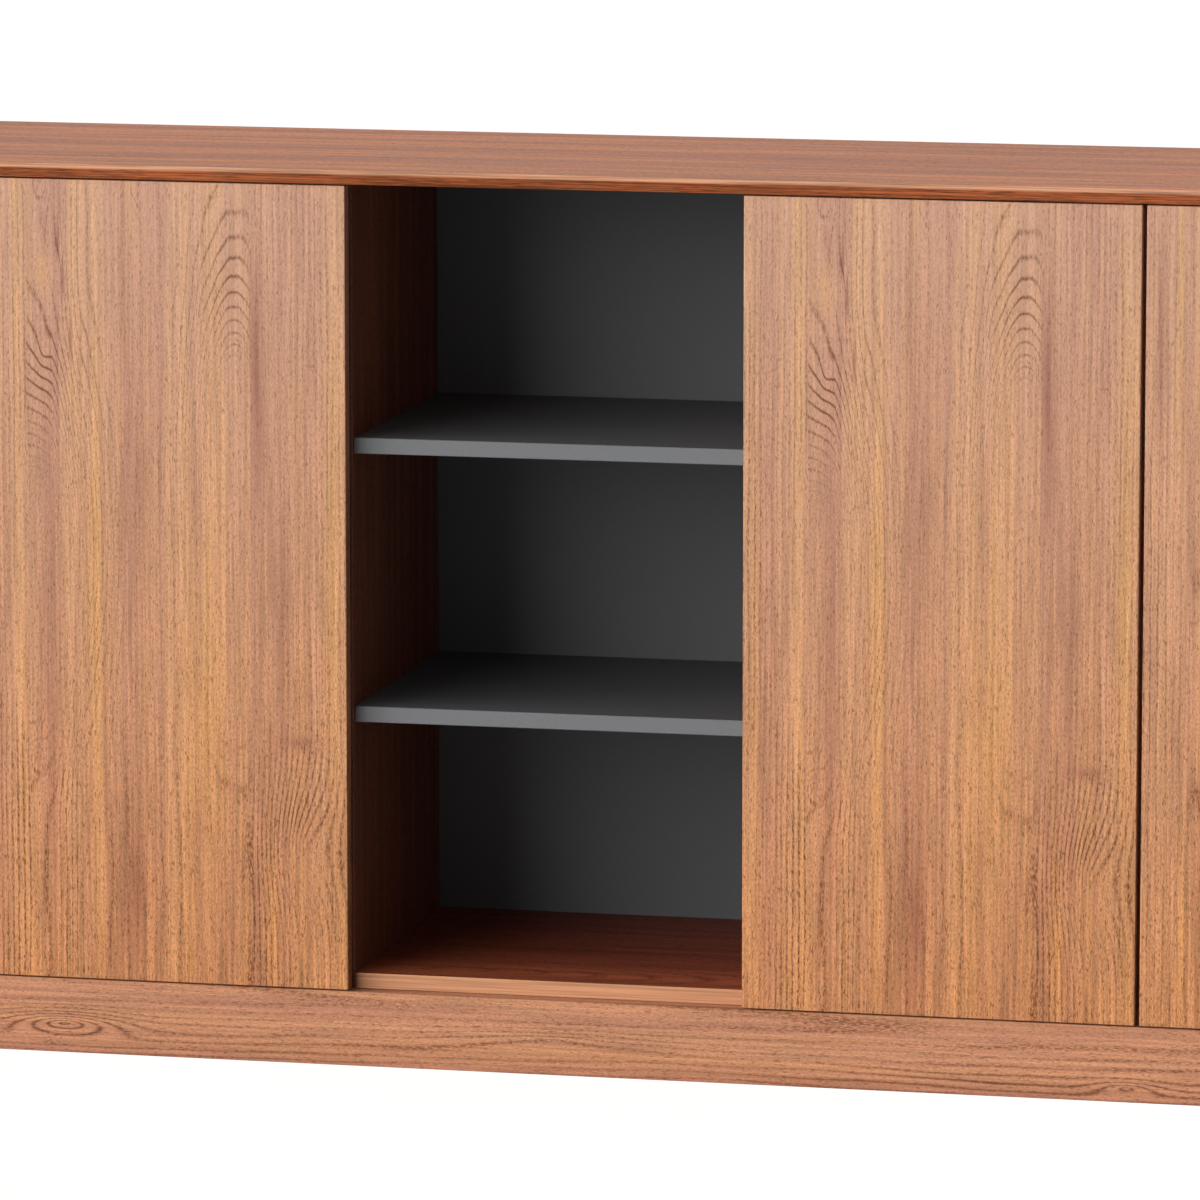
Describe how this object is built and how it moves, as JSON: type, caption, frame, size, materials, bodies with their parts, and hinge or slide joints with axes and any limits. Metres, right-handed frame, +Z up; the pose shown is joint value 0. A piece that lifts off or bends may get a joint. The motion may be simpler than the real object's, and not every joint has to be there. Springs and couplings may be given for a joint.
{
  "type": "filing cupboard",
  "caption": "Low wood-veneered filing cupboard on a plinth, with flush push-to-open doors on both sides of an open niche with dark shelves, under a thin overhanging top.",
  "frame": {"origin": "middle of the cupboard's footprint, under the top's outline, on the floor", "axes": "+X along the length, to the right as seen from the front; -Y towards the front, where the doors are; +Z up"},
  "size_m": [2.028, 0.4, 0.908],
  "materials": {
    "oak_veneer": "red-brown stained oak veneer, satin lacquer",
    "anthracite_board": "anthracite melamine-faced board, matt",
    "nickelled_steel": "nickel-plated pressed steel",
    "grey_plastic": "moulded grey plastic"
  },
  "bodies": {
    "carcass": {"top_panel": "oak_veneer", "plinth_front": "oak_veneer", "plinth_back": "oak_veneer", "plinth_end_left": "oak_veneer", "plinth_end_right": "oak_veneer", "plinth_cross_rail": "oak_veneer", "end_panel_left": "oak_veneer", "end_panel_right": "oak_veneer", "mid_partition_left": "oak_veneer", "mid_partition_right": "oak_veneer", "niche_partition_left": "oak_veneer", "niche_partition_right": "oak_veneer", "bottom_panel_left": "oak_veneer", "bottom_panel_niche": "oak_veneer", "bottom_panel_right": "oak_veneer", "loose_shelf_1": "oak_veneer", "loose_shelf_2": "oak_veneer", "loose_shelf_3": "oak_veneer", "loose_shelf_4": "oak_veneer", "back_panel_left": "anthracite_board", "back_panel_niche": "anthracite_board", "back_panel_right": "anthracite_board", "niche_shelf_1": "anthracite_board", "niche_shelf_2": "anthracite_board", "hinge_arm_1_lower": "nickelled_steel", "hinge_arm_1_upper": "nickelled_steel", "hinge_arm_2_lower": "nickelled_steel", "hinge_arm_2_upper": "nickelled_steel", "hinge_arm_3_lower": "nickelled_steel", "hinge_arm_3_upper": "nickelled_steel", "hinge_arm_4_lower": "nickelled_steel", "hinge_arm_4_upper": "nickelled_steel", "latch_body_1": "grey_plastic", "latch_body_2": "grey_plastic", "latch_body_3": "grey_plastic", "latch_body_4": "grey_plastic"},
    "links_1": {"hinge_link_1_lower": "nickelled_steel", "hinge_link_1_upper": "nickelled_steel"},
    "leaf_1": {"door_1": "oak_veneer", "hinge_cup_1_lower": "nickelled_steel", "hinge_cup_1_upper": "nickelled_steel"},
    "plunger_1": {"latch_plunger_1": "grey_plastic"},
    "links_2": {"hinge_link_2_lower": "nickelled_steel", "hinge_link_2_upper": "nickelled_steel"},
    "leaf_2": {"door_2": "oak_veneer", "hinge_cup_2_lower": "nickelled_steel", "hinge_cup_2_upper": "nickelled_steel"},
    "plunger_2": {"latch_plunger_2": "grey_plastic"},
    "links_3": {"hinge_link_3_lower": "nickelled_steel", "hinge_link_3_upper": "nickelled_steel"},
    "leaf_3": {"door_3": "oak_veneer", "hinge_cup_3_lower": "nickelled_steel", "hinge_cup_3_upper": "nickelled_steel"},
    "plunger_3": {"latch_plunger_3": "grey_plastic"},
    "links_4": {"hinge_link_4_lower": "nickelled_steel", "hinge_link_4_upper": "nickelled_steel"},
    "leaf_4": {"door_4": "oak_veneer", "hinge_cup_4_lower": "nickelled_steel", "hinge_cup_4_upper": "nickelled_steel"},
    "plunger_4": {"latch_plunger_4": "grey_plastic"}
  },
  "joints": [
    {"name": "link_turn_1", "type": "hinge", "parent": "carcass", "child": "links_1", "pos_m": [-0.974, -0.1715, 0.484], "axis": [0, 0, 1], "range_deg": [0, 35]},
    {"name": "door_turn_1", "type": "hinge", "parent": "links_1", "child": "leaf_1", "pos_m": [-0.98904, -0.1735, 0.484], "axis": [0, 0, -1], "range_deg": [0, 133.2]},
    {"name": "plunger_slide_1", "type": "slide", "parent": "carcass", "child": "plunger_1", "axis": [0, -1, 0], "range_m": [0, 0.014]},
    {"name": "link_turn_2", "type": "hinge", "parent": "carcass", "child": "links_2", "pos_m": [-0.226, -0.1715, 0.484], "axis": [0, 0, -1], "range_deg": [0, 35]},
    {"name": "door_turn_2", "type": "hinge", "parent": "links_2", "child": "leaf_2", "pos_m": [-0.21096, -0.1735, 0.484], "axis": [0, 0, 1], "range_deg": [0, 133.2]},
    {"name": "plunger_slide_2", "type": "slide", "parent": "carcass", "child": "plunger_2", "axis": [0, -1, 0], "range_m": [0, 0.014]},
    {"name": "link_turn_3", "type": "hinge", "parent": "carcass", "child": "links_3", "pos_m": [0.226, -0.1715, 0.484], "axis": [0, 0, 1], "range_deg": [0, 35]},
    {"name": "door_turn_3", "type": "hinge", "parent": "links_3", "child": "leaf_3", "pos_m": [0.21096, -0.1735, 0.484], "axis": [0, 0, -1], "range_deg": [0, 133.2]},
    {"name": "plunger_slide_3", "type": "slide", "parent": "carcass", "child": "plunger_3", "axis": [0, -1, 0], "range_m": [0, 0.014]},
    {"name": "link_turn_4", "type": "hinge", "parent": "carcass", "child": "links_4", "pos_m": [0.974, -0.1715, 0.484], "axis": [0, 0, -1], "range_deg": [0, 35]},
    {"name": "door_turn_4", "type": "hinge", "parent": "links_4", "child": "leaf_4", "pos_m": [0.98904, -0.1735, 0.484], "axis": [0, 0, 1], "range_deg": [0, 133.2]},
    {"name": "plunger_slide_4", "type": "slide", "parent": "carcass", "child": "plunger_4", "axis": [0, -1, 0], "range_m": [0, 0.014]}
  ],
  "couplings": [
    {"joint": "link_turn_1", "follows": "door_turn_1", "ratio": 0.25},
    {"joint": "plunger_slide_1", "follows": "door_turn_1", "m_per_rad": 0.006},
    {"joint": "link_turn_2", "follows": "door_turn_2", "ratio": 0.25},
    {"joint": "plunger_slide_2", "follows": "door_turn_2", "m_per_rad": 0.006},
    {"joint": "link_turn_3", "follows": "door_turn_3", "ratio": 0.25},
    {"joint": "plunger_slide_3", "follows": "door_turn_3", "m_per_rad": 0.006},
    {"joint": "link_turn_4", "follows": "door_turn_4", "ratio": 0.25},
    {"joint": "plunger_slide_4", "follows": "door_turn_4", "m_per_rad": 0.006}
  ]
}
